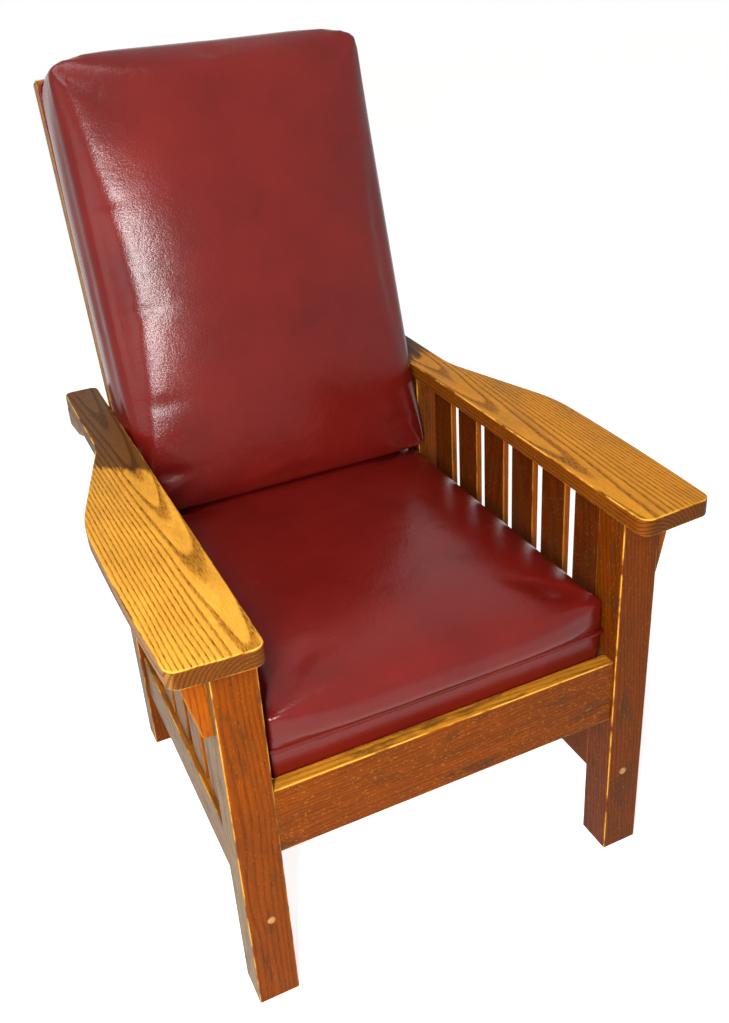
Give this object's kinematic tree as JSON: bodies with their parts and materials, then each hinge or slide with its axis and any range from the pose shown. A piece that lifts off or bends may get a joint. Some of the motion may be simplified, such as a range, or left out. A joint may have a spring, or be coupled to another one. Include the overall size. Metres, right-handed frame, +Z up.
{
  "type": "reclining armchair",
  "caption": "Wide-armed slatted oak armchair with two loose leather cushions and a hinged back that leans on a movable cross bar.",
  "frame": {"origin": "on the floor, under the middle of the chair's outer box", "axes": "+Z up, the chair faces -Y, +X to the right of someone who looks at it from the front"},
  "size_m": [0.748, 0.9036, 1.1456],
  "materials": {
    "oak": "worn satin varnish",
    "deck_pine": "bare",
    "plug_wood": "worn satin varnish",
    "hinge_brass": "dull",
    "hinge_steel": "dull",
    "oxblood_leather": "glossy"
  },
  "bodies": {
    "chair_frame": {"left_front_post": "oak", "left_rear_post": "oak", "left_arm": "oak", "left_side_rail": "oak", "left_corbel": "oak", "left_bar_rack": "oak", "left_slat_1": "oak", "left_slat_2": "oak", "left_slat_3": "oak", "left_slat_4": "oak", "left_slat_5": "oak", "left_slat_6": "oak", "left_hinge_fixed_leaf": "hinge_brass", "left_hinge_pin": "hinge_steel", "right_front_post": "oak", "right_rear_post": "oak", "right_arm": "oak", "right_side_rail": "oak", "right_corbel": "oak", "right_bar_rack": "oak", "right_slat_1": "oak", "right_slat_2": "oak", "right_slat_3": "oak", "right_slat_4": "oak", "right_slat_5": "oak", "right_slat_6": "oak", "right_hinge_fixed_leaf": "hinge_brass", "right_hinge_pin": "hinge_steel", "front_seat_rail": "oak", "rear_seat_rail": "oak", "front_seat_cleat": "deck_pine", "rear_seat_cleat": "deck_pine", "deck_slat_1": "deck_pine", "deck_slat_2": "deck_pine", "deck_slat_3": "deck_pine", "deck_slat_4": "deck_pine", "deck_slat_5": "deck_pine", "side_rail_bolts": "hinge_steel", "post_plugs": "plug_wood", "hinge_screws_in_rail": "hinge_steel", "seat_cushion": "oxblood_leather"},
    "back": {"left_back_stile": "oak", "left_hinge_moving_leaf": "hinge_brass", "right_back_stile": "oak", "right_hinge_moving_leaf": "hinge_brass", "back_bottom_rail": "oak", "back_top_rail": "oak", "back_slat_1": "oak", "back_slat_2": "oak", "back_slat_3": "oak", "back_slat_4": "oak", "hinge_screws_in_back": "hinge_steel", "back_cushion": "oxblood_leather"},
    "bar": {"support_bar": "oak"}
  },
  "joints": [
    {"name": "back_recline", "type": "hinge", "parent": "chair_frame", "child": "back", "pos_m": [0, 0.21023, 0.3653], "axis": [-1, 0, 0], "range_deg": [0, 11.47]},
    {"name": "bar_shift", "type": "slide", "parent": "chair_frame", "child": "bar", "axis": [0, 1, 0], "range_m": [0, 0.0524]}
  ],
  "couplings": [
    {"joint": "bar_shift", "follows": "back_recline", "m_per_rad": 0.26169}
  ]
}
